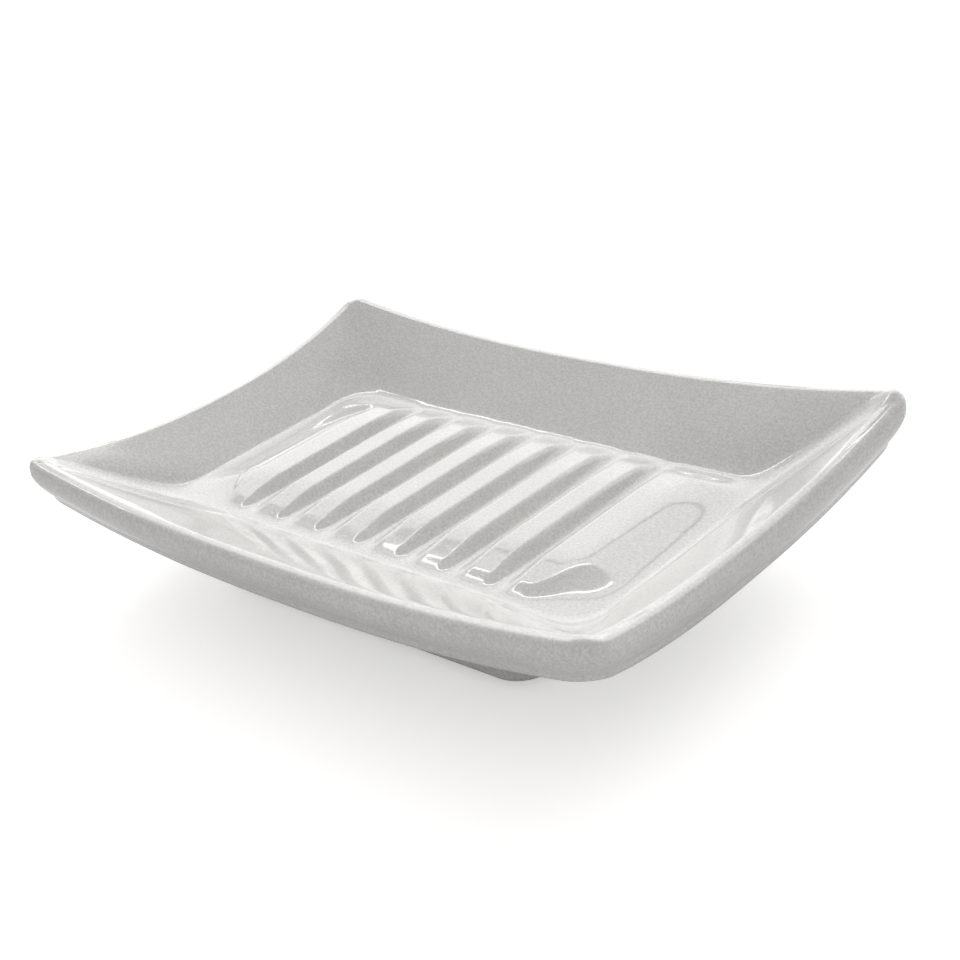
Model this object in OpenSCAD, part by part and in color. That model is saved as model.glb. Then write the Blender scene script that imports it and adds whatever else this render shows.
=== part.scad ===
// A soap dish of glazed white ceramic. It is an oblong tray with swept-up
// corners, drain ribs on its floor and a moulded foot ring underneath, and it
// stands on four small pads pressed into the foot.
// Millimetres, +Z up, the long side along X. The origin is on the table,
// under the middle of the dish.

/* [Rim] */
// Length of the dish over the rim
rim_length = 134; // [125:1:150]
// Width of the dish over the rim
rim_width = 89.8; // [80:0.2:96]
// Corner radius of the rim, seen from above
rim_corner_radius = 5; // [3:0.2:9]
// Height of the rim's crown above the table, at the tip of a corner
corner_height = 28.2; // [26:0.1:36]
// Depth of the curve that the crown follows along a long side
long_dip = 5.4; // [0:0.1:8]
// Depth of the curve that the crown follows along a short side
short_dip = 6.3; // [0:0.1:8]
// Power of the long side's curve, where 2 is a parabola
long_dip_power = 2.4; // [1.5:0.1:4]
// Power of the short side's curve
short_dip_power = 2.3; // [1.5:0.1:4]
// How far the middle of a short side is drawn in from its ends
short_draw = 1.7; // [0:0.05:2.5]

/* [Edge] */
// Distance from the rim's outline in to the crown
lip_breadth = 2; // [1:0.1:3]
// Height over which the lip rolls down from the crown to the outer face
lip_fall = 2.6; // [1:0.1:4]
// Power of the lip's outer curve, where 2 is an ellipse and more is squarer
lip_power = 3; // [2:0.1:4]
// Radius of the lip on its inner side
lip_radius = 1.4; // [0.8:0.1:2.5]
// Corner radius of the crown, seen from above
crown_corner_radius = 1; // [0.8:0.1:3]
// Height of the plain face under the lip
edge_face = 4.3; // [2:0.1:6]
// How far that face leans in towards its foot
edge_draft = 2; // [0:0.1:3]
// Depth of the rounding under the face
under_round_depth = 3.5; // [2:0.1:6]
// How far the rounding reaches in under the dish
under_round_reach = 5.9; // [3:0.1:8]

/* [Floor] */
// Height of the floor above the table
floor_height = 15.8; // [13.5:0.1:17]
// Distance from the rim's outline in to the floor's edge, on a long side
floor_side_inset = 20.3; // [17:0.1:22]
// Distance from the rim's outline in to the floor's edge, on a short side
floor_end_inset = 17.8; // [16:0.1:22]
// Corner radius of the floor
floor_corner_radius = 7.2; // [5:0.2:14]
// Power of the wall's hollow, where 1 is a straight slope
wall_power = 1.15; // [1:0.05:1.6]
// Thickness of the ceramic under the floor
floor_thickness = 5; // [4:0.1:7]

/* [Drain ribs] */
// Number of ribs
rib_count = 8; // [5:1:8]
// Distance from one rib to the next
rib_pitch = 10; // [9:0.1:11]
// Width of a rib at the floor
rib_width = 8.8; // [6:0.1:9.2]
// Height of a rib above the floor
rib_height = 2; // [1:0.1:3]
// Length of a rib
rib_length = 46.6; // [30:0.2:48]
// How far the row of ribs stands back of the middle
rib_set_back = 1.1; // [0:0.1:2]

/* [Foot] */
// Length of the foot ring
foot_length = 75.4; // [60:0.1:84]
// Width of the foot ring
foot_width = 53.9; // [44:0.1:56]
// Corner radius of the foot ring
foot_corner_radius = 6.4; // [5:0.1:12]
// Breadth of the band of the foot ring that stands
foot_band = 9; // [8.4:0.1:12]
// Corner radius of the hollow inside the foot ring
foot_inner_radius = 3; // [2:0.5:5]
// Rounding of the foot ring's outer lower edge
foot_round = 1.2; // [0.4:0.1:2]

/* [Pads] */
// Diameter of a pad
pad_diameter = 6.4; // [5:0.1:6.6]
// Thickness of a pad
pad_thickness = 1.9; // [1.4:0.1:2.6]
// How far a pad stands proud of the foot ring
pad_proud = 1; // [0.6:0.1:1.2]
// Width of the bevel round a pad's standing face
pad_bevel = 0.4; // [0.1:0.1:0.8]
// Clearance round a pad in its socket
pad_clearance = 0.2; // [0.1:0.05:0.4]

/* [Hidden] */

glaze_colour = [0.86, 0.86, 0.85];
pad_colour = [0.78, 0.80, 0.80];

// Steps of the shell's mesh along its sides, corners and sections
long_steps = 12;
short_steps = 8;
corner_steps = 6;
wall_steps = 6;
inner_steps = 2;
outer_steps = 4;
round_steps = 4;
under_steps = 3;
foot_steps = 3;

// Angle, from the outside over the crown, at which the lip meets the wall
lip_turn = 118;
// Angle at which the rounding under the edge runs out into the sloping underside
under_turn = 62;
// One overrun, for cuts and for what is sunk into the floor
overrun = 1;
half_length = rim_length / 2;
half_width = rim_width / 2;
under_height = floor_height - floor_thickness;
foot_half_length = foot_length / 2;
foot_half_width = foot_width / 2;
// The pads stand on the middle of the foot ring's band, at its corners
pad_x = foot_half_length - foot_band * 2 / 3;
pad_y = foot_half_width - foot_band * 2 / 3;
pad_radius = pad_diameter / 2;

// Stations round the dish, anticlockwise from the front left. Each holds its
// place between the corners' centres and the outward direction there:
// [core x, core y, outward x, outward y], with the core from -1 to 1.
front_stations = [for (i = [0:long_steps - 1]) [2 * i / long_steps - 1, -1, 0, -1]];
right_stations = [for (i = [0:short_steps - 1]) [1, 2 * i / short_steps - 1, 1, 0]];
function corner_stations(x, y, start) =
    [for (i = [0:corner_steps - 1])
        let (turn = start + 90 * i / corner_steps) [x, y, cos(turn), sin(turn)]];
half_ring = concat(front_stations, corner_stations(1, -1, -90), right_stations, corner_stations(1, 1, 0));
stations = concat(half_ring, [for (s = half_ring) -s]);
station_count = len(stations);

// A station's point on a rounded oblong with half sizes a and b and corner radius r
function plan_point(s, a, b, r) = [s[0] * (a - r) + s[2] * r, s[1] * (b - r) + s[3] * r];

// How far the crown's two curves fall at a station
function curve_fall(s) =
    let (p = plan_point(s, half_length, half_width, rim_corner_radius))
    long_dip * (1 - pow(abs(p[0]) / half_length, long_dip_power))
    + short_dip * (1 - pow(abs(p[1]) / half_width, short_dip_power));

// How far the crown lies below the tip of a corner
tip_fall = curve_fall([1, 1, cos(45), sin(45)]);
function crown_dip(s) = curve_fall(s) - tip_fall;

// How far a station is drawn in by the hollow of the short sides
function side_draw(s) =
    let (p = plan_point(s, half_length, half_width, rim_corner_radius))
    short_draw * s[2] * (1 - pow(p[1] / (half_width - rim_corner_radius), 2));

// One ring of the shell: its half sizes, corner radius, height under a corner's
// crown, and the share of the crown's dip that it follows
function ring(a, b, r, z, follow_share) =
    [for (s = stations)
        let (p = plan_point(s, a, b, r))
        [p[0] - follow_share * side_draw(s), p[1], z - follow_share * crown_dip(s)]];

// A ring at a distance in from the rim's outline, with its own corner radius
function rim_ring(inset, r, z, follow_share) =
    ring(half_length - inset, half_width - inset, r, z, follow_share);

// Corner radius of the edge and the rounding under it, which opens on the way
// in to the foot ring
function under_radius(inset) =
    rim_corner_radius + (foot_corner_radius - rim_corner_radius) * inset / floor_side_inset;

lip_inset = lip_breadth - lip_radius * cos(lip_turn);
lip_drop = lip_radius * (1 - sin(lip_turn));
wall_rise = corner_height - lip_drop - floor_height;
face_foot = corner_height - lip_fall - edge_face;
round_inset = edge_draft + under_round_reach * (1 - cos(under_turn));
round_height = face_foot - under_round_depth * sin(under_turn);

// The hollow wall, from the floor's edge up to the lip
wall_rings = [for (i = [0:wall_steps - 1])
    let (share = i / wall_steps, rise = pow(share, wall_power))
    ring(half_length - floor_end_inset + (floor_end_inset - lip_inset) * share,
        half_width - floor_side_inset + (floor_side_inset - lip_inset) * share,
        floor_corner_radius + (crown_corner_radius - floor_corner_radius) * share,
        floor_height + wall_rise * rise, rise)];

// The lip's inner side, an arc from the wall up to the crown
inner_rings = [for (i = [0:inner_steps - 1])
    let (turn = lip_turn + (90 - lip_turn) * i / inner_steps)
    rim_ring(lip_breadth - lip_radius * cos(turn), crown_corner_radius,
        corner_height - lip_radius * (1 - sin(turn)), 1)];

// The lip's outer side, a squared-off quarter of an ellipse from the crown to
// the outer face
outer_rings = [for (i = [0:outer_steps])
    let (turn = 90 * (1 - i / outer_steps), inset_share = 1 - pow(cos(turn), 2 / lip_power))
    rim_ring(lip_breadth * inset_share,
        rim_corner_radius + (crown_corner_radius - rim_corner_radius) * inset_share,
        corner_height - lip_fall * (1 - pow(sin(turn), 2 / lip_power)), 1)];

// The outer face's lower edge and the rounding under it
round_rings = [for (i = [0:round_steps])
    let (turn = under_turn * i / round_steps, inset = edge_draft + under_round_reach * (1 - cos(turn)))
    rim_ring(inset, under_radius(inset), face_foot - under_round_depth * sin(turn), 1)];

// The underside, which slopes in to the foot ring and leaves the crown's curves
under_rings = [for (i = [1:under_steps])
    let (share = i / under_steps)
    ring(half_length - round_inset + (foot_half_length - half_length + round_inset) * share,
        half_width - round_inset + (foot_half_width - half_width + round_inset) * share,
        under_radius(round_inset) + (foot_corner_radius - under_radius(round_inset)) * share,
        round_height + (under_height - round_height) * share,
        1 - share)];

// The foot ring's rounded lower edge, its standing face and the hollow inside it
foot_rings = concat(
    [for (i = [0:foot_steps])
        let (turn = 90 * i / foot_steps, inset = foot_round * (1 - cos(turn)))
        ring(foot_half_length - inset, foot_half_width - inset, foot_corner_radius - inset,
            pad_proud + foot_round * (1 - sin(turn)), 0)],
    [for (z = [pad_proud, under_height])
        ring(foot_half_length - foot_band, foot_half_width - foot_band, foot_inner_radius, z, 0)]);

shell_rings = concat(wall_rings, inner_rings, outer_rings, round_rings, under_rings, foot_rings);

// The shell is closed by the flat floor at one end and by the ceiling of the
// foot's hollow at the other, each a fan of triangles round its middle
module shell() {
    last = (len(shell_rings) - 1) * station_count;
    floor_middle = last + station_count;
    sides = [for (k = [0:len(shell_rings) - 2], j = [0:station_count - 1])
        let (a = k * station_count + j, b = k * station_count + (j + 1) % station_count)
        each [[a, b, b + station_count], [a, b + station_count, a + station_count]]];
    ends = [for (j = [0:station_count - 1])
        let (next = (j + 1) % station_count)
        each [[floor_middle, next, j], [floor_middle + 1, last + j, last + next]]];
    polyhedron(
        points = concat([for (r = shell_rings) each r], [[0, 0, floor_height], [0, 0, under_height]]),
        faces = concat(sides, ends));
}

// One drain rib: a rounded bar whose lower part is sunk in the floor
module rib() {
    bar_radius = (rib_width * rib_width / 4 + rib_height * rib_height) / (2 * rib_height);
    bar_length = rib_length - rib_width;
    intersection() {
        translate([0, 0, floor_height + rib_height - bar_radius]) {
            rotate([90, 0, 0])
                cylinder(r = bar_radius, h = bar_length, center = true, $fn = 48);
            for (side = [-1, 1])
                translate([0, side * bar_length / 2, 0])
                    sphere(r = bar_radius, $fn = 48);
        }
        translate([-rib_width, -rib_length, floor_height - overrun])
            cube([2 * rib_width, 2 * rib_length, rib_height + 2 * overrun]);
    }
}

module ribs() {
    for (i = [0:rib_count - 1])
        translate([(i - (rib_count - 1) / 2) * rib_pitch, rib_set_back, 0])
            rib();
}

// The round sockets that the pads are pressed into
module pad_sockets() {
    for (x = [-pad_x, pad_x], y = [-pad_y, pad_y])
        translate([x, y, pad_proud - overrun])
            cylinder(r = pad_radius + pad_clearance, h = pad_thickness - pad_proud + overrun, $fn = 48);
}

module dish_body() {
    color(glaze_colour)
        difference() {
            union() {
                shell();
                ribs();
            }
            pad_sockets();
        }
}

// A soft disc with a bevel round the face that it stands on
module pad(x, y) {
    color(pad_colour)
        translate([x, y, 0])
            rotate_extrude($fn = 48)
                polygon([
                    [0, 0],
                    [pad_radius - pad_bevel, 0],
                    [pad_radius, pad_bevel],
                    [pad_radius, pad_thickness],
                    [0, pad_thickness]
                ]);
}

module pad_front_left() {
    pad(-pad_x, -pad_y);
}

module pad_front_right() {
    pad(pad_x, -pad_y);
}

module pad_back_left() {
    pad(-pad_x, pad_y);
}

module pad_back_right() {
    pad(pad_x, pad_y);
}

dish_body();
pad_front_left();
pad_front_right();
pad_back_left();
pad_back_right();
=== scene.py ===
"""The looks of a white ceramic soap dish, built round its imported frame."""

import bpy
import numpy as np
from mathutils import Matrix, Vector


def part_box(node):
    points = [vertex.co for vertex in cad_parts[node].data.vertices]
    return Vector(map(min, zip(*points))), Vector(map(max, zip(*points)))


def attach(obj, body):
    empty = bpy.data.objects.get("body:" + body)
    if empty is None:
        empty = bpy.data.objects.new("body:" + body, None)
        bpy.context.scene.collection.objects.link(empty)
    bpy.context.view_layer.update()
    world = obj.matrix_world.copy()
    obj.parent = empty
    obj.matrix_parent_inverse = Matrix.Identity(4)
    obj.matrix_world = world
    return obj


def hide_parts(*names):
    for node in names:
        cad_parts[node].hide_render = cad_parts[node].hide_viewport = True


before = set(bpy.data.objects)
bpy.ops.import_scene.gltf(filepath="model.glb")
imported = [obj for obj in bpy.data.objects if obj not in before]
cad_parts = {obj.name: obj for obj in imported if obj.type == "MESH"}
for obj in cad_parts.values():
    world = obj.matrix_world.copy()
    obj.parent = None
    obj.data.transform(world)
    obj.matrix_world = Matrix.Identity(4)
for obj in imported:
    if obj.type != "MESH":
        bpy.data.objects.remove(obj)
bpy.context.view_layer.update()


# The dish: one pressed moulding of white ceramic, glazed all over but for the
# face that it stands on. Its tray, rim, drain ribs and foot ring are a single
# skin, laid here ring by ring from the floor out over the rim and under.
MM = 0.001
dish_low, dish_high = (np.array(corner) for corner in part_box("dish_body"))
foot_height, tip_height = dish_low[2], dish_high[2]

LONG_STEPS, SHORT_STEPS, CORNER_STEPS = 216, 80, 40


def stations():
    """Core place and outward direction of each station round the dish.

    A side's stations have their core evenly spaced between two corners'
    centres, -1 to 1, and face straight out. A corner's stay at its centre and
    turn through a right angle. They start at the middle of the front left
    corner and run anticlockwise.
    """
    cores, outs = [], []
    for quarter in range(4):
        steps = (LONG_STEPS, SHORT_STEPS)[quarter % 2]
        along = 2 * np.arange(steps) / steps - 1
        turn = np.pi / 2 * (quarter - 1 + np.arange(CORNER_STEPS) / CORNER_STEPS)
        start = np.pi / 2 * (quarter - 1)
        out = np.array([np.cos(start), np.sin(start)])
        side = np.array([-out[1], out[0]])
        cores.append(out + np.outer(along, side))
        outs.append(np.tile(out, (steps, 1)))
        cores.append(np.tile(out + side, (CORNER_STEPS, 1)))
        outs.append(np.stack([np.cos(turn), np.sin(turn)], 1))
    roll = CORNER_STEPS // 2
    return np.roll(np.concatenate(cores), roll, 0), np.roll(np.concatenate(outs), roll, 0)


core, outward = stations()


def plan(half, radius):
    """Points of a rounded oblong: core times (half size less radius), plus radius outward."""
    return core * (half - radius) + outward * radius


# The rim's outline. Its dips and its draw are those at the middle of a side.
rim_half = (dish_high - dish_low)[:2] / 2
rim_radius = 5 * MM
long_dip, short_dip = 5.4 * MM, 6.3 * MM
long_power, short_power = 2.4, 2.3
short_draw = 1.7 * MM


def crown_fall():
    """How far the rim's crown lies below its highest points, at each station.

    It is the long dip times (1 less the share of the way out along X to the
    long power), plus the same along Y for the short dip, less the least sum.
    """
    u, v = np.abs(plan(rim_half, rim_radius) / rim_half).T
    fall = long_dip * (1 - u ** long_power) + short_dip * (1 - v ** short_power)
    return (fall - fall.min())[:, None]


def side_draw():
    """How far each station moves in where the short sides bow in, along X alone.

    It is the short draw times (1 less the square of the share of the way from
    a short side's middle to its end).
    """
    share = np.clip(plan(rim_half, rim_radius)[:, 1] / (rim_half[1] - rim_radius), -1, 1)
    return np.outer(short_draw * outward[:, 0] * (1 - share ** 2), [1, 0])


crown_dip, rim_draw = crown_fall(), side_draw()


def ring(half, radius, height, follow=0):
    """One closed ring: a rounded oblong at a height, less a share of the rim's dip and of its draw."""
    return np.concatenate([plan(half, radius) - follow * rim_draw, height - follow * crown_dip], 1)


def rim_ring(inset, radius, height):
    """A ring at a distance in from the rim's outline, which follows its dip and draw in full."""
    return ring(rim_half - inset, radius, height, 1)


LIP_ARC_STEPS, LIP_STEPS = 7, 16
lip_breadth, lip_fall, lip_power = 2 * MM, 2.6 * MM, 3
lip_radius, crown_radius = 1.4 * MM, 2.2 * MM


def lip_ring(lean):
    """The ring of the lip's inner arc where its surface leans at an angle, 0 at the crown."""
    return rim_ring(lip_breadth + lip_radius * np.sin(lean), crown_radius,
                    tip_height - lip_radius * (1 - np.cos(lean)))


def lip_rings(slope):
    """The lip: an arc from the wall's slope up to the crown, and a squared-off ellipse down its outside.

    On the ellipse, the shares of the breadth gone and of the height left, each
    to the lip's power, add up to 1.
    """
    rings = [lip_ring(slope * (1 - share)) for share in np.linspace(0, 1, LIP_ARC_STEPS + 1)[:-1]]
    for turn in np.linspace(np.pi / 2, 0, LIP_STEPS + 1):
        share = 1 - np.abs(np.cos(turn)) ** (2 / lip_power)
        rings.append(rim_ring(lip_breadth * share, rim_radius + (crown_radius - rim_radius) * share,
                              tip_height - lip_fall * (1 - np.sin(turn) ** (2 / lip_power))))
    return rings


# The floor's outline, and how hollow the wall is along the sides and in the
# corners. The hollow starts to grow at corner_start and is full a span later.
WALL_STEPS, wall_crowding = 20, 1.6
floor_height = foot_height + 14.8 * MM
floor_half = rim_half - np.array([17.8, 20.3]) * MM
floor_radius = 7.2 * MM
side_hollow, corner_hollow = 0.07, 0.25
corner_start, corner_span = 0.55, 0.4


def wall_rings(floor_edge):
    """The wall from the floor's edge up to where the lip takes over, and its slope there.

    Its height follows one arm of a hyperbola, the root of share squared plus
    hollow squared, so it leaves the floor level and then runs straight. The
    hollow grows towards the corners in a smooth step. The rings crowd towards
    the floor, and the lip starts at the wall's own slope.
    """
    nearness = np.prod(np.abs(floor_edge[:, :2]) / floor_half, axis=1)[:, None]
    nearness = np.clip((nearness - corner_start) / corner_span, 0, 1)
    hollow = side_hollow + (corner_hollow - side_hollow) * nearness ** 2 * (3 - 2 * nearness)
    arm = np.hypot(1, hollow) - hollow
    tangent = rim_ring(lip_breadth + lip_radius / 2, crown_radius, tip_height)
    run = np.linalg.norm((tangent - floor_edge)[:, :2], axis=1)[:, None]
    slope = np.arctan((tangent - floor_edge)[:, 2:] / run / arm / np.hypot(1, hollow))
    climb = lip_ring(slope) - floor_edge
    rings = []
    for share in np.linspace(0, 1, WALL_STEPS + 1)[1:-1] ** wall_crowding:
        points = floor_edge + climb * share
        rise = (np.hypot(share, hollow) - hollow) / arm
        points[:, 2:] = floor_edge[:, 2:] + climb[:, 2:] * rise
        rings.append(points)
    return rings, slope


EDGE_STEPS, ROUND_STEPS = 5, 8
edge_face, edge_draft, draft_power = 4.3 * MM, 2 * MM, 1.5
round_depth, round_reach = 3.5 * MM, 5.9 * MM
round_turn = np.radians(62)
foot_radius = 6.4 * MM


def under_radius(inset):
    """Corner radius under the lip: the rim's, which turns evenly into the foot ring's on the way in."""
    return rim_radius + (foot_radius - rim_radius) * inset / (rim_half - floor_half)[1]


def edge_rings():
    """The plain face under the lip, and under it part of an ellipse's quarter.

    The face draws in by its draft times the share of the way down to a power.
    """
    top, foot = tip_height - lip_fall, tip_height - lip_fall - edge_face
    places = [(edge_draft * share ** draft_power, top + (foot - top) * share)
              for share in np.linspace(0, 1, EDGE_STEPS + 1)[1:-1]]
    places += [(edge_draft + round_reach * (1 - np.cos(turn)), foot - round_depth * np.sin(turn))
               for turn in np.linspace(0, round_turn, ROUND_STEPS + 1)]
    return [rim_ring(inset, under_radius(inset), height) for inset, height in places]


UNDER_STEPS, COVE_STEPS = 7, 4
floor_thickness = 5 * MM
under_height = floor_height - floor_thickness
foot_half = np.array([37.7, 26.95]) * MM
foot_cove = 1.5 * MM


def under_rings(last):
    """The underside: straight in from the edge's rounding, and a quarter circle down to the foot ring."""
    foot_top = ring(foot_half + foot_cove, foot_radius + foot_cove, under_height)
    rings = [last + (foot_top - last) * share for share in np.linspace(0, 1, UNDER_STEPS + 1)[1:]]
    for turn in np.linspace(0, np.pi / 2, COVE_STEPS + 1)[1:]:
        inset = foot_cove * (1 - np.sin(turn))
        height = under_height - foot_cove * (1 - np.cos(turn))
        rings.append(ring(foot_half + inset, foot_radius + inset, height))
    return rings


FOOT_STEPS, INNER_STEPS = 6, 4
foot_side_shares = (0.5, 0.85)
foot_band, foot_round = 9 * MM, 1.2 * MM
foot_inner_radius, foot_inner_round = 3 * MM, 0.8 * MM


def foot_rings():
    """The foot ring: outer face, a quarter circle to the standing face, one up from it, and inner face."""
    drop = foot_height + foot_round - under_height
    rings = [ring(foot_half, foot_radius, under_height + drop * share) for share in foot_side_shares]
    for turn in np.linspace(0, np.pi / 2, FOOT_STEPS + 1):
        inset = foot_round * (1 - np.cos(turn))
        height = foot_height + foot_round * (1 - np.sin(turn))
        rings.append(ring(foot_half - inset, foot_radius - inset, height))
    inner_half = foot_half - foot_band
    for turn in np.linspace(0, np.pi / 2, INNER_STEPS + 1):
        out = foot_inner_round * (1 - np.sin(turn))
        height = foot_height + foot_inner_round * (1 - np.cos(turn))
        rings.append(ring(inner_half + out, foot_inner_radius + out, height))
    for height in (under_height - foot_inner_round, under_height):
        rings.append(ring(inner_half, foot_inner_radius, height))
    return rings


# The drain ribs. Crest and reach are half breadths, and ramps and sags run in
# from a rib's front and back ends.
rib_count, rib_pitch = 8, 10 * MM
rib_height = 1.9 * MM
rib_crest, rib_reach, outer_reach = 2 * MM, 4.8 * MM, 15 * MM
rib_front, rib_back = -24.2 * MM, 26 * MM
front_ramp, back_ramp = 4.6 * MM, 7 * MM
outer_ramp, outer_turn = 13 * MM, 7 * MM
front_sag, front_sag_ramp = 0.69, 13.5 * MM
back_sag, back_sag_ramp = 0.35, 16 * MM


def half_wave(share):
    """Half a cosine wave, from 1 where the share is 0 down to 0 where it is 1."""
    return (1 + np.cos(np.pi * np.clip(share, 0, 1))) / 2


def rib_relief(x, y):
    """Height of the drain ribs over the floor: a cross section times a ramp at each end times a sag.

    The section is level on the crest and falls to the floor along half a
    cosine wave. That wave and the front ramp are longer on the outer sides of
    the first and last rib. Ramps and sags are half cosine waves too, and a sag
    takes off only a share.
    """
    first = -(rib_count - 1) / 2 * rib_pitch
    nearest = np.clip(np.round((x - first) / rib_pitch), 0, rib_count - 1)
    across = np.abs(x - first - nearest * rib_pitch)
    reach = np.where(np.abs(x) > -first, outer_reach, rib_reach)
    section = half_wave((across - rib_crest) / (reach - rib_crest))
    front, back = y - rib_front, rib_back - y
    outer = half_wave(1 - (np.abs(x) + first) / outer_turn)
    ramps = half_wave(1 - front / (front_ramp + (outer_ramp - front_ramp) * outer))
    ramps = ramps * half_wave(1 - back / back_ramp)
    sag = 1 - front_sag * half_wave(front / front_sag_ramp) - back_sag * half_wave(back / back_sag_ramp)
    return rib_height * section * ramps * sag


def floor_patch(edge):
    """Grid of the floor inside its closed edge: a Coons patch, lifted by the ribs.

    Each inner point blends the front and back edges by v, the left and right
    edges by u, and takes the blend of the four corners away once.
    """
    across, deep = LONG_STEPS + CORNER_STEPS, SHORT_STEPS + CORNER_STEPS
    loop = np.concatenate([edge, edge[:1]])
    front, right = loop[:across + 1], loop[across:across + deep + 1]
    back, left = loop[across + deep:2 * across + deep + 1][::-1], loop[2 * across + deep:][::-1]
    u = np.linspace(0, 1, across + 1)[:, None, None]
    v = np.linspace(0, 1, deep + 1)[None, :, None]
    corners = ((1 - u) * (1 - v) * front[0] + u * (1 - v) * front[-1]
               + (1 - u) * v * back[0] + u * v * back[-1])
    grid = ((1 - v) * front[:, None] + v * back[:, None]
            + (1 - u) * left[None] + u * right[None] - corners)
    grid[..., 2] = floor_height + rib_relief(grid[..., 0], grid[..., 1])
    return grid


def strip_faces(rings):
    """Four-sided faces between each closed ring and the next, as rows of point numbers.

    Point j of ring i has the number i times the points of a ring, plus j.
    """
    count, size = rings.shape[:2]
    step = np.arange(size)
    ahead = (step + 1) % size
    start = (np.arange(count - 1) * size)[:, None]
    strips = np.stack([start + step, start + size + step, start + size + ahead, start + ahead], -1)
    return strips.reshape(-1, 4)


def dish_mesh():
    """Points and faces of the whole skin: its rings, the floor's grid and the hollow's ceiling.

    The grid's border takes the numbers of the first ring's points, so the floor
    and the wall share them.
    """
    floor_edge = ring(floor_half, floor_radius, floor_height)
    walls, slope = wall_rings(floor_edge)
    for points in [floor_edge] + walls:
        points[:, 2] += rib_relief(points[:, 0], points[:, 1])
    edge = edge_rings()
    rings = np.array([floor_edge] + walls + lip_rings(slope) + edge + under_rings(edge[-1]) + foot_rings())
    count, size = rings.shape[:2]

    grid = floor_patch(floor_edge)
    across, deep = grid.shape[0] - 1, grid.shape[1] - 1
    index = np.zeros(grid.shape[:2], int)
    inner = index[1:-1, 1:-1]
    inner[:] = count * size + np.arange(inner.size).reshape(inner.shape)
    index[:, 0] = np.arange(across + 1)
    index[-1, :] = across + np.arange(deep + 1)
    index[::-1, -1] = across + deep + np.arange(across + 1)
    index[0, ::-1] = (2 * across + deep + np.arange(deep + 1)) % size

    cells = np.stack([index[:-1, :-1], index[1:, :-1], index[1:, 1:], index[:-1, 1:]], -1)
    ceiling = (count - 1) * size + np.arange(size)[::-1]
    points = np.concatenate([rings.reshape(-1, 3), grid[1:-1, 1:-1].reshape(-1, 3)])
    return points, strip_faces(rings).tolist() + cells.reshape(-1, 4).tolist() + [ceiling.tolist()]


def new_piece(name, points, faces):
    """A smooth-shaded mesh object at the origin, with its place in its mesh."""
    mesh = bpy.data.meshes.new(name)
    mesh.from_pydata(points.tolist(), [], faces)
    mesh.shade_smooth()
    mesh.update()
    piece = bpy.data.objects.new(name, mesh)
    bpy.context.scene.collection.objects.link(piece)
    return piece


dish = new_piece("ceramic_dish", *dish_mesh())


def feed(tree, node, feeds):
    """Gives each socket of a node that is named in feeds its plain value, or links an output to it."""
    for socket, value in feeds.items():
        if isinstance(value, bpy.types.NodeSocket):
            tree.links.new(value, node.inputs[socket])
        else:
            node.inputs[socket].default_value = value


def add_node(tree, kind, feeds=None, **settings):
    """A new shader node of a kind, with its settings made and its sockets fed."""
    node = tree.nodes.new("ShaderNode" + kind)
    for name, setting in settings.items():
        setattr(node, name, setting)
    feed(tree, node, feeds or {})
    return node


def reckon(tree, operation, *values, **settings):
    """What a Math node's operation makes of its values."""
    return add_node(tree, "Math", dict(enumerate(values)), operation=operation, **settings).outputs[0]


def spread(tree, value, low, high, to=(0, 1), **settings):
    """A value's way from low to high, stretched over the range that to gives and held at its ends."""
    feeds = {"Value": value, "From Min": low, "From Max": high, "To Min": to[0], "To Max": to[1]}
    return add_node(tree, "MapRange", feeds, **settings).outputs["Result"]


def colour_mix(tree, share, first, second):
    """Colour that runs from a first one to a second one as a share runs from 0 to 1."""
    feeds = {"Factor": share, "A": first, "B": second}
    return add_node(tree, "Mix", feeds, data_type="RGBA").outputs["Result"]


def mottle_group():
    """Node group: a fine speckle with a little broad cloud in it, as a colour and a mask from 0 to 1.

    Object coordinates go into two noises, one broad and one fine, each spread
    out to run from 0 to 1. The mask is the sum of a share of each, and the
    colour moves towards the second one by the mask times Amount.
    """
    noise_low, noise_high = 0.35, 0.65
    broad_share, fine_share = 0.15, 0.85
    group = bpy.data.node_groups.new("mottle", "ShaderNodeTree")
    for name in ("Colour", "Second colour"):
        group.interface.new_socket(name, in_out="INPUT", socket_type="NodeSocketColor")
    for name in ("Broad scale", "Fine scale", "Amount"):
        group.interface.new_socket(name, in_out="INPUT", socket_type="NodeSocketFloat")
    group.interface.new_socket("Colour", in_out="OUTPUT", socket_type="NodeSocketColor")
    group.interface.new_socket("Mask", in_out="OUTPUT", socket_type="NodeSocketFloat")
    taken, given = group.nodes.new("NodeGroupInput"), group.nodes.new("NodeGroupOutput")
    place = add_node(group, "TexCoord").outputs["Object"]

    def noise(scale):
        """A noise with the scale of the named input, spread out to run from 0 to 1."""
        plain = add_node(group, "TexNoise", {"Vector": place, "Scale": taken.outputs[scale], "Detail": 3})
        return spread(group, plain.outputs["Fac"], noise_low, noise_high)

    fine = reckon(group, "MULTIPLY", noise("Fine scale"), fine_share)
    cloud = reckon(group, "MULTIPLY_ADD", noise("Broad scale"), broad_share, fine)
    share = reckon(group, "MULTIPLY", cloud, taken.outputs["Amount"])
    colour = colour_mix(group, share, taken.outputs["Colour"], taken.outputs["Second colour"])
    feed(group, given, {"Colour": colour, "Mask": cloud})
    return group


mottle = mottle_group()


def new_material(name):
    """A new material, its node tree and the Principled shader in it."""
    material = bpy.data.materials.new(name)
    material.use_nodes = True
    return material, material.node_tree, material.node_tree.nodes["Principled BSDF"]


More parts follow.
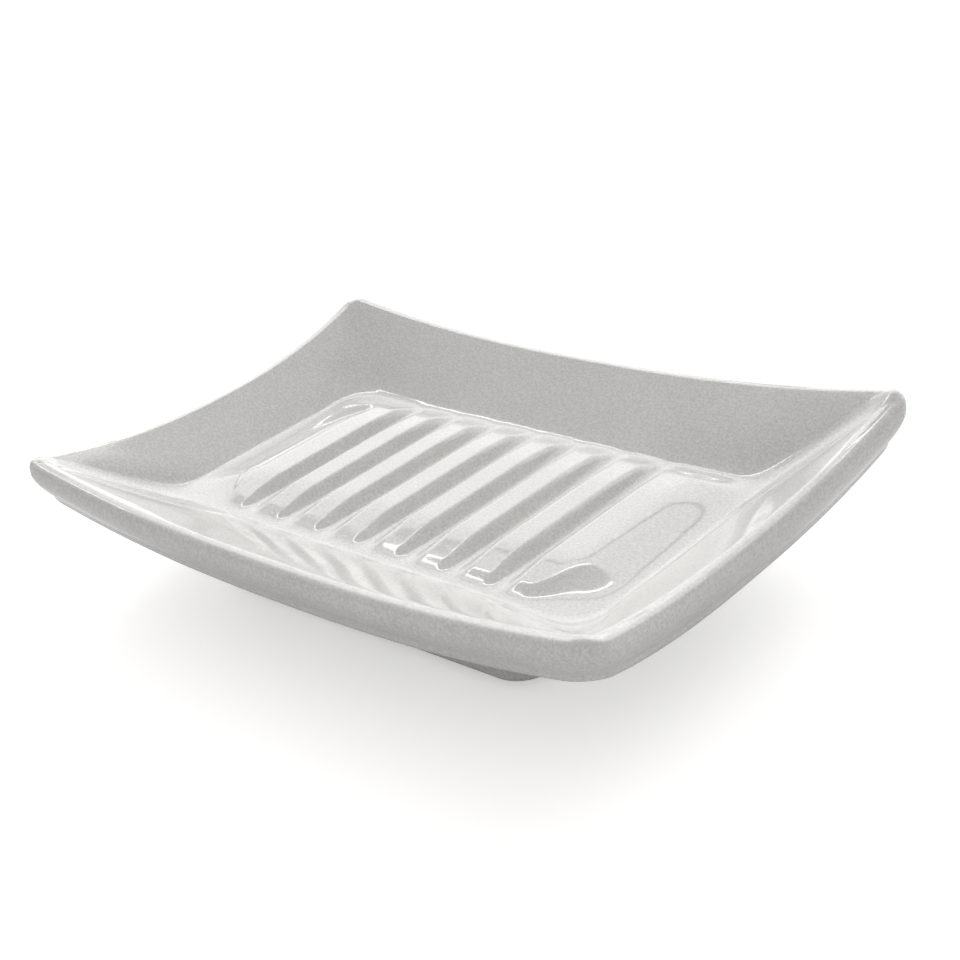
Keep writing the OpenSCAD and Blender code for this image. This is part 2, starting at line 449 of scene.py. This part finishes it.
def glaze_material():
    """Glossy white glaze with a fine speckle, a slightly wavy skin, and a bare matt standing face.

    Colour and roughness turn from the glaze's to the bare clay's, evenly, over
    a thin band of heights just above the standing face.
    """
    clay_colour = (0.62, 0.56, 0.47, 1)
    glazed_height, bare_height = foot_height + 0.35 * MM, foot_height + 0.15 * MM
    glaze_roughness, clay_roughness = 0.05, 0.75
    material, tree, shader = new_material("white_glaze")
    place = add_node(tree, "TexCoord").outputs["Object"]
    height = add_node(tree, "SeparateXYZ", {"Vector": place}).outputs["Z"]
    bare = spread(tree, height, glazed_height, bare_height)
    cloud = add_node(tree, "Group", {
        "Colour": (0.715, 0.7, 0.68, 1),
        "Second colour": (0.515, 0.525, 0.53, 1),
        "Broad scale": 70,
        "Fine scale": 2200,
        "Amount": 0.9,
    }, node_tree=mottle)
    wave = add_node(tree, "TexNoise", {"Vector": place, "Scale": 100, "Detail": 1})
    bump = add_node(tree, "Bump", {"Height": wave.outputs["Fac"], "Strength": 1, "Distance": 0.05 * MM})
    feed(tree, shader, {
        "Base Color": colour_mix(tree, bare, cloud.outputs["Colour"], clay_colour),
        "Roughness": spread(tree, bare, 0, 1, (glaze_roughness, clay_roughness)),
        "IOR": 1.52,
        "Normal": bump.outputs["Normal"],
    })
    return material


dish.data.materials.append(glaze_material())
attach(dish, "root")
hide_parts("dish_body")


# The pads: four soft clear discs pressed into sockets in the foot ring, so the
# dish doesn't slide or scratch. Each is turned from one profile, with a
# rounded rim and a shallow hollow in the face that it stands on.
PAD_STEPS, HOLLOW_STEPS, LOWER_STEPS, UPPER_STEPS = 64, 7, 8, 4
pad_lower_round, pad_upper_round = 0.4 * MM, 0.2 * MM
pad_hollow, hollow_radius_share = 0.12 * MM, 0.6
side_height_share = 0.6


def pad_profile(radius, thickness):
    """Radii and heights of a pad's profile, from near its standing face's middle out and up to its top.

    The hollow's height is its depth times the square of (1 less the square of
    the share of its radius). Quarter circles round the lower and upper edges.
    """
    share = np.linspace(0, 1, HOLLOW_STEPS + 1)[1:]
    lower = np.linspace(0, np.pi / 2, LOWER_STEPS + 1)
    upper = np.linspace(0, np.pi / 2, UPPER_STEPS + 1)
    radii = [radius * hollow_radius_share * share,
             radius - pad_lower_round + pad_lower_round * np.sin(lower),
             [radius],
             radius - pad_upper_round * (1 - np.cos(upper))]
    heights = [pad_hollow * (1 - share ** 2) ** 2,
               pad_lower_round * (1 - np.cos(lower)),
               [thickness * side_height_share],
               thickness - pad_upper_round * (1 - np.sin(upper))]
    return np.concatenate(radii), np.concatenate(heights)


def pad_mesh(low, high):
    """Points and faces of one pad: its profile turned about the upright line through its box's middle."""
    centre = (low + high) / 2
    radii, heights = pad_profile((high - low)[0] / 2, (high - low)[2])
    turns = np.linspace(0, 2 * np.pi, PAD_STEPS, endpoint=False)
    rings = np.stack([centre[0] + np.outer(radii, np.cos(turns)),
                      centre[1] + np.outer(radii, np.sin(turns)),
                      low[2] + np.outer(heights, np.ones(PAD_STEPS))], -1)
    step = np.arange(PAD_STEPS)
    middle = np.full(PAD_STEPS, len(rings) * PAD_STEPS)
    foot = np.stack([middle, (step + 1) % PAD_STEPS, step], -1)
    top = (len(rings) - 1) * PAD_STEPS + step
    points = np.concatenate([rings.reshape(-1, 3), [[centre[0], centre[1], low[2] + pad_hollow]]])
    return points, strip_faces(rings)[:, ::-1].tolist() + foot.tolist() + [top.tolist()]


def pad_material():
    """Soft clear plastic that has gone a little milky, duller where its cloud is denser."""
    low_roughness, high_roughness = 0.3, 0.5
    material, tree, shader = new_material("soft_pad")
    cloud = add_node(tree, "Group", {
        "Colour": (0.62, 0.65, 0.65, 1),
        "Second colour": (0.54, 0.57, 0.58, 1),
        "Broad scale": 300,
        "Fine scale": 4000,
        "Amount": 0.8,
    }, node_tree=mottle)
    feed(tree, shader, {
        "Base Color": cloud.outputs["Colour"],
        "Roughness": spread(tree, cloud.outputs["Mask"], 0, 1, (low_roughness, high_roughness)),
        "IOR": 1.45,
    })
    return material


soft_clear = pad_material()
for corner in ("front_left", "front_right", "back_left", "back_right"):
    pad_low, pad_high = (np.array(point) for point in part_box("pad_" + corner))
    pad = new_piece("soft_pad_" + corner, *pad_mesh(pad_low, pad_high))
    pad.data.materials.append(soft_clear)
    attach(pad, "root")
    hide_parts("pad_" + corner)


# The table top: a plain white sheet that runs out past the view. The dish is
# lit by a slightly greyer one than the camera sees, and its shadow stays.
table_half = 3.0
lit_white, seen_white = (0.8, 0.8, 0.8, 1), (0.95, 0.95, 0.95, 1)
camera_glow = 0.42


def ray_share(tree, *kinds):
    """1 for a ray of any of the named kinds and 0 for others: the sum of Light Path's outputs."""
    path = add_node(tree, "LightPath")
    total = path.outputs[kinds[0]]
    for kind in kinds[1:]:
        total = reckon(tree, "ADD", total, path.outputs[kind], use_clamp=True)
    return total


def table_top():
    """A level square about the origin, at the height that the dish stands on."""
    corners = np.array([[-1, -1, 0], [1, -1, 0], [1, 1, 0], [-1, 1, 0]])
    table = new_piece("table_top", table_half * corners, [[0, 1, 2, 3]])
    material, tree, shader = new_material("white_sheet")
    seen = ray_share(tree, "Is Camera Ray", "Is Glossy Ray", "Is Transmission Ray")
    glow = reckon(tree, "MULTIPLY", ray_share(tree, "Is Camera Ray"), camera_glow)
    feed(tree, shader, {
        "Base Color": colour_mix(tree, seen, lit_white, seen_white),
        "Roughness": 0.9,
        "Specular IOR Level": 0,
        "Emission Color": (1, 1, 1, 1),
        "Emission Strength": glow,
    })
    table.data.materials.append(material)


table_top()


# The studio: a wide white window behind and to the left of the dish, a bright
# strip along the top of its left part, and a greyer room everywhere else.
# Turns are in degrees from +Y towards +X, and heights are a direction's own Z.
window_colour, strip_colour = (2.7, 2.7, 2.65, 1), (12, 12, 12, 1)
room_low_colour, room_high_colour = (0.56, 0.555, 0.545, 1), (0.69, 0.68, 0.67, 1)
room_low, room_high = 0.1, 0.8
window_left, window_left_fade = -66, (-0.34, 0.1)
window_right, window_right_fade = 18, (0.15, -0.1)
window_top_fade = (0.76, 0.71)
post_turn, post_half = -12, 0.02
rails = ((0.27, 0.02), (0.17, 0.016), (0.62, 0.01))
strip_left, strip_right, strip_end_fade = -80, -30, 0.02
strip_low, strip_high, strip_side_fade = 0.7, 0.722, 0.004


def studio_world():
    """World colour from the direction, and plain white to the camera.

    The window is a product of smooth steps: it runs between two turns, with a
    long fade on the left, and up to a height. One thin post and three thin
    rails cross it. The strip is such a product too, and the room brightens
    with height in one smooth step.
    """
    world = bpy.data.worlds.new("studio")
    bpy.context.scene.world = world
    world.use_nodes = True
    tree = world.node_tree
    direction = add_node(tree, "TexCoord").outputs["Generated"]
    height = add_node(tree, "SeparateXYZ", {"Vector": direction}).outputs["Z"]
    level = add_node(tree, "VectorMath", {0: direction, 1: (1, 1, 0)}, operation="MULTIPLY")
    unit = add_node(tree, "VectorMath", {0: level.outputs["Vector"]}, operation="NORMALIZE")

    def past(turn):
        """Sine of how far the direction is turned past a turn."""
        turn = np.radians(turn)
        across = (np.cos(turn), -np.sin(turn), 0)
        dot = add_node(tree, "VectorMath", {0: unit.outputs["Vector"], 1: across}, operation="DOT_PRODUCT")
        return dot.outputs["Value"]

    def step(value, dark, bright):
        """Smooth step of a value, from 0 at dark to 1 at bright."""
        return spread(tree, value, dark, bright, interpolation_type="SMOOTHSTEP")

    def bar(value, middle, half):
        """0 on a thin bar about a middle value, 1 away from it, with a smooth step over its outer half."""
        offset = reckon(tree, "ABSOLUTE", reckon(tree, "SUBTRACT", value, middle))
        return step(offset, half / 2, half)

    def product(*values):
        """Product of several values."""
        total = values[0]
        for value in values[1:]:
            total = reckon(tree, "MULTIPLY", total, value)
        return total

    sides = [step(past(window_left), *window_left_fade), step(past(window_right), *window_right_fade)]
    bars = [bar(past(post_turn), 0, post_half)] + [bar(height, middle, half) for middle, half in rails]
    window = product(*sides, step(height, *window_top_fade), *bars)
    strip = product(step(past(strip_left), -strip_end_fade, strip_end_fade),
                    step(past(strip_right), strip_end_fade, -strip_end_fade),
                    step(height, strip_low, strip_low + strip_side_fade),
                    step(height, strip_high, strip_high - strip_side_fade))
    room = colour_mix(tree, step(height, room_low, room_high), room_low_colour, room_high_colour)
    lit = colour_mix(tree, strip, colour_mix(tree, window, room, window_colour), strip_colour)
    shown = colour_mix(tree, ray_share(tree, "Is Camera Ray", "Is Transmission Ray"), lit, (1, 1, 1, 1))
    feed(tree, tree.nodes["Background"], {"Color": shown})


studio_world()


# The camera stands at the photograph's place: front right of the dish, looking
# down at it, and turned a little about its own axis. Its turn is from -Y
# towards +X, and its picture's centre is off the middle, as in a cropped photo.
camera_turn, camera_rise, camera_roll = np.radians([46.84, 26.27, -9.98])
camera_distance, camera_aim = 287.8 * MM, np.array([-3.52, -0.17, 13.94]) * MM
picture_pixels, focal_pixels = 960, 1590.3
centre_pixel_x, centre_pixel_y = 438.1, 495.4


def photo_camera():
    """A camera set back from its aim, along the line given by its turn and its rise.

    Its own right and top are the level direction and the one square to it,
    turned by the roll. Focal length and picture centre become shares of the
    picture's width, times the sensor's width for the lens.
    """
    back = np.array([np.sin(camera_turn) * np.cos(camera_rise),
                     -np.cos(camera_turn) * np.cos(camera_rise), np.sin(camera_rise)])
    level = np.array([np.cos(camera_turn), np.sin(camera_turn), 0])
    up = np.cross(back, level)
    right = level * np.cos(camera_roll) + up * np.sin(camera_roll)
    top = up * np.cos(camera_roll) - level * np.sin(camera_roll)
    data = bpy.data.cameras.new("photo_camera")
    data.sensor_width = 36
    data.lens = focal_pixels / picture_pixels * data.sensor_width
    data.shift_x = (picture_pixels / 2 - centre_pixel_x) / picture_pixels
    data.shift_y = (centre_pixel_y - picture_pixels / 2) / picture_pixels
    data.clip_start = 0.01
    camera = bpy.data.objects.new("photo_camera", data)
    turned = Matrix(np.column_stack([right, top, back]).tolist()).to_4x4()
    camera.matrix_world = Matrix.Translation(Vector(camera_aim + back * camera_distance)) @ turned
    bpy.context.scene.collection.objects.link(camera)
    bpy.context.scene.camera = camera


photo_camera()

bpy.context.scene.view_settings.view_transform = "Standard"
